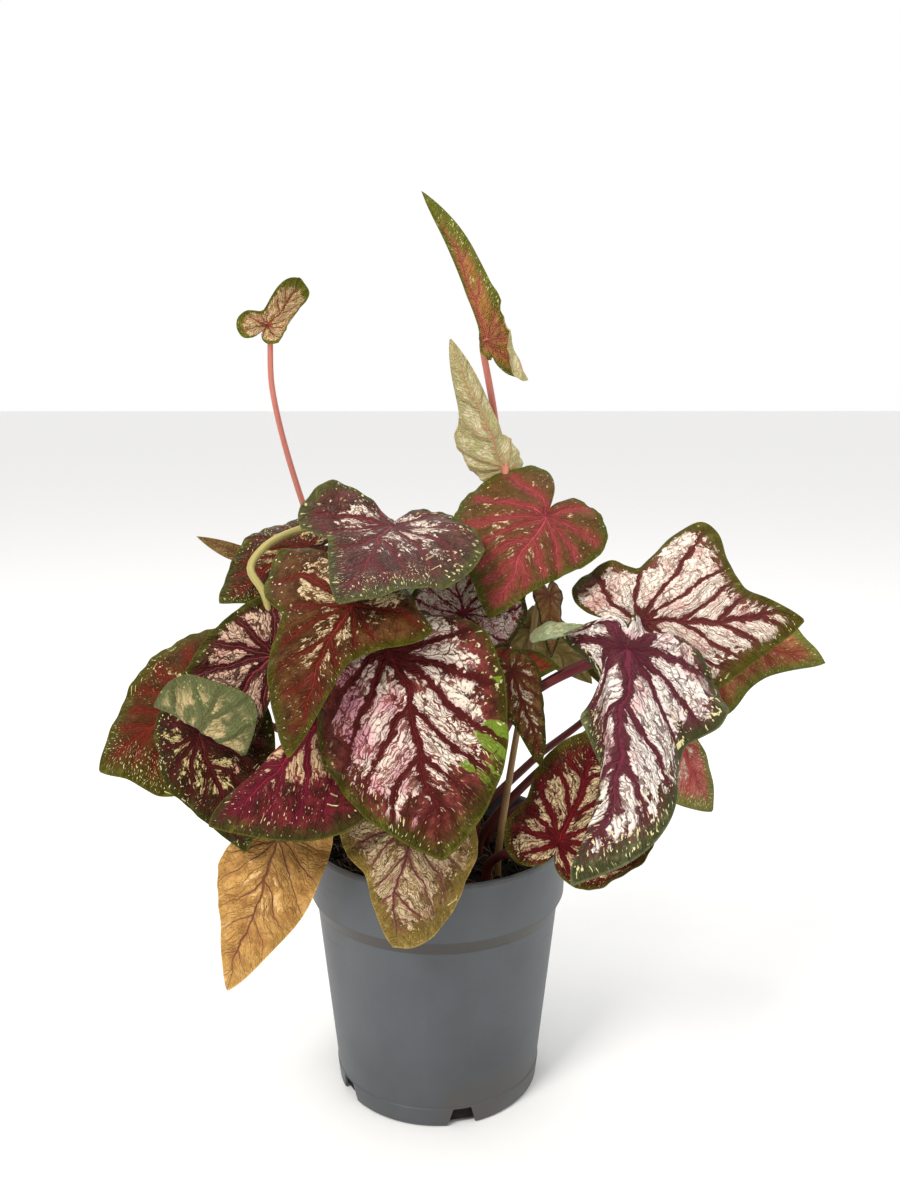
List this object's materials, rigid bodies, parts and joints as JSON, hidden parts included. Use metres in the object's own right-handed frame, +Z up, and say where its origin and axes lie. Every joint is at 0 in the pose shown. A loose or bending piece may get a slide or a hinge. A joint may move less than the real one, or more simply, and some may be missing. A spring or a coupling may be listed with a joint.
{
  "type": "potted caladium plant",
  "caption": "Bushy potted caladium: thin waved heart-shaped leaves on long stalks, standing in soil in a tapered pot with a collared rim and drain notches.",
  "frame": {"origin": "on the pot's axis at the level the pot stands on", "axes": "+Z up along the pot's axis, -Y towards the side the leaves face, +X to the right seen from there"},
  "size_m": [0.3222, 0.2146, 0.404],
  "materials": {
    "pot": "satin",
    "soil": "matte",
    "front_centre": "satin",
    "front_left_long": "satin",
    "front_magenta": "satin",
    "front_wilted": "satin",
    "front_yellow": "satin",
    "crown_top": "satin",
    "crown_red": "satin",
    "crown_mid": "satin",
    "right_big": "satin",
    "right_behind": "satin",
    "right_hanging": "satin",
    "right_low": "satin",
    "right_back": "satin",
    "left_folded": "satin",
    "left_far": "satin",
    "left_low": "satin",
    "left_upper": "satin",
    "left_dry_tip": "satin",
    "inner_mottled": "satin",
    "inner_olive": "satin",
    "inner_dull": "satin",
    "inner_narrow": "satin",
    "tall_twisted": "satin",
    "tall_rolled": "satin",
    "tall_small": "satin",
    "back_left": "satin",
    "back_mid": "satin",
    "back_right": "satin",
    "back_low": "satin"
  },
  "bodies": {
    "root": {"pot": "pot", "soil": "soil", "front_centre": "front_centre", "front_left_long": "front_left_long", "front_magenta": "front_magenta", "front_wilted": "front_wilted", "front_yellow": "front_yellow", "crown_top": "crown_top", "crown_red": "crown_red", "crown_mid": "crown_mid", "right_big": "right_big", "right_behind": "right_behind", "right_hanging": "right_hanging", "right_low": "right_low", "right_back": "right_back", "left_folded": "left_folded", "left_far": "left_far", "left_low": "left_low", "left_upper": "left_upper", "left_dry_tip": "left_dry_tip", "inner_mottled": "inner_mottled", "inner_olive": "inner_olive", "inner_dull": "inner_dull", "inner_narrow": "inner_narrow", "tall_twisted": "tall_twisted", "tall_rolled": "tall_rolled", "tall_small": "tall_small", "back_left": "back_left", "back_mid": "back_mid", "back_right": "back_right", "back_low": "back_low"}
  },
  "joints": []
}
